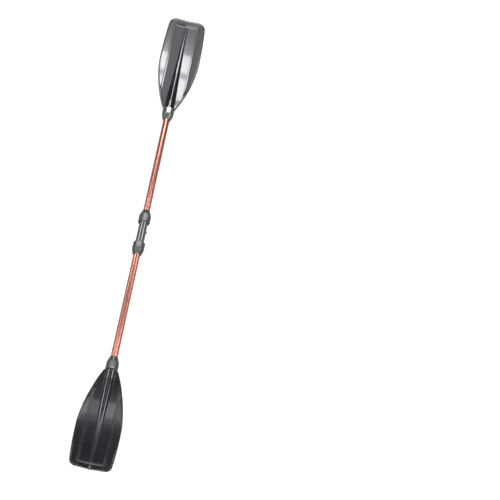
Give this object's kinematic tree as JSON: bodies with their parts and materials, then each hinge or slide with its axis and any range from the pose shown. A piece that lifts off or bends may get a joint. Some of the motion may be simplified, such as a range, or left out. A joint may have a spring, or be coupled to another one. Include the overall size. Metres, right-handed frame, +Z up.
{
  "type": "kayak paddle",
  "caption": "Take-apart kayak paddle with two spooned blades, tube shafts, a centre sleeve and screw clamp nuts.",
  "frame": {"origin": "on the surface that the paddle lies on, below the middle of the centre sleeve; the tube axis is 24.5 mm above it", "axes": "+X along the tubes from the left blade to the right blade, +Z up out of the power faces, +Y across the blades"},
  "size_m": [2.18, 0.1744, 0.0978],
  "materials": {
    "blade_plastic": "moulded black plastic, satin to semi-gloss",
    "shaft_anodised": "orange-red anodised tube",
    "nut_plastic": "moulded dark grey plastic",
    "sleeve_plastic": "moulded dark grey plastic",
    "collar_plastic": "moulded plastic, bonded in the sleeve",
    "collet_nylon": "natural nylon",
    "plug_foam": "closed-cell plug",
    "button_steel": "dark stainless steel",
    "spring_steel": "spring steel leaf"
  },
  "bodies": {
    "sleeve": {"centre_sleeve": "sleeve_plastic", "stop_collar": "collar_plastic"},
    "left_shaft": {"left_shaft": "shaft_anodised", "left_inner_plug": "plug_foam", "left_outer_plug": "plug_foam", "button_spring": "spring_steel"},
    "right_shaft": {"right_shaft": "shaft_anodised", "right_inner_plug": "plug_foam", "right_outer_plug": "plug_foam"},
    "snap_button": {"snap_button": "button_steel"},
    "left_blade": {"left_blade": "blade_plastic"},
    "right_blade": {"right_blade": "blade_plastic"},
    "left_centre_collet": {"left_centre_collet": "collet_nylon"},
    "left_centre_nut": {"left_centre_nut": "nut_plastic"},
    "right_centre_collet": {"right_centre_collet": "collet_nylon"},
    "right_centre_nut": {"right_centre_nut": "nut_plastic"},
    "left_blade_collet": {"left_blade_collet": "collet_nylon"},
    "left_blade_nut": {"left_blade_nut": "nut_plastic"},
    "right_blade_collet": {"right_blade_collet": "collet_nylon"},
    "right_blade_nut": {"right_blade_nut": "nut_plastic"}
  },
  "joints": [
    {"name": "feather_turn", "type": "hinge", "parent": "sleeve", "child": "left_shaft", "pos_m": [0, 0, 0.0245], "axis": [-1, 0, 0], "range_deg": [0, 60]},
    {"name": "button_press", "type": "slide", "parent": "left_shaft", "child": "snap_button", "axis": [0, -1, 0], "range_m": [0, 0.0072], "stiffness_N_per_m": 900, "springref_m": -0.005, "deforming": ["button_spring"]},
    {"name": "right_half_pull", "type": "slide", "parent": "sleeve", "child": "right_shaft", "axis": [1, 0, 0], "range_m": [0, 0.1]},
    {"name": "left_blade_pull", "type": "slide", "parent": "left_shaft", "child": "left_blade", "axis": [-1, 0, 0], "range_m": [0, 0.1]},
    {"name": "right_blade_pull", "type": "slide", "parent": "right_shaft", "child": "right_blade", "axis": [1, 0, 0], "range_m": [0, 0.1]},
    {"name": "left_centre_nut_travel", "type": "slide", "parent": "sleeve", "child": "left_centre_collet", "axis": [-1, 0, 0], "range_m": [0, 0.0081]},
    {"name": "left_centre_nut_turn", "type": "hinge", "parent": "left_centre_collet", "child": "left_centre_nut", "pos_m": [-0.049, 0, 0.0245], "axis": [-1, 0, 0], "range_deg": [0, 720]},
    {"name": "right_centre_nut_travel", "type": "slide", "parent": "sleeve", "child": "right_centre_collet", "axis": [1, 0, 0], "range_m": [0, 0.0081]},
    {"name": "right_centre_nut_turn", "type": "hinge", "parent": "right_centre_collet", "child": "right_centre_nut", "pos_m": [0.049, 0, 0.0245], "axis": [1, 0, 0], "range_deg": [0, 720]},
    {"name": "left_blade_nut_travel", "type": "slide", "parent": "left_blade", "child": "left_blade_collet", "axis": [1, 0, 0], "range_m": [0, 0.0081]},
    {"name": "left_blade_nut_turn", "type": "hinge", "parent": "left_blade_collet", "child": "left_blade_nut", "pos_m": [-0.641, 0, 0.0245], "axis": [1, 0, 0], "range_deg": [0, 720]},
    {"name": "right_blade_nut_travel", "type": "slide", "parent": "right_blade", "child": "right_blade_collet", "axis": [-1, 0, 0], "range_m": [0, 0.0081]},
    {"name": "right_blade_nut_turn", "type": "hinge", "parent": "right_blade_collet", "child": "right_blade_nut", "pos_m": [0.641, 0, 0.0245], "axis": [-1, 0, 0], "range_deg": [0, 720]}
  ],
  "couplings": [
    {"joint": "left_centre_nut_travel", "follows": "left_centre_nut_turn", "m_per_rad": 0.00063662},
    {"joint": "right_centre_nut_travel", "follows": "right_centre_nut_turn", "m_per_rad": 0.00063662},
    {"joint": "left_blade_nut_travel", "follows": "left_blade_nut_turn", "m_per_rad": 0.00063662},
    {"joint": "right_blade_nut_travel", "follows": "right_blade_nut_turn", "m_per_rad": 0.00063662}
  ]
}
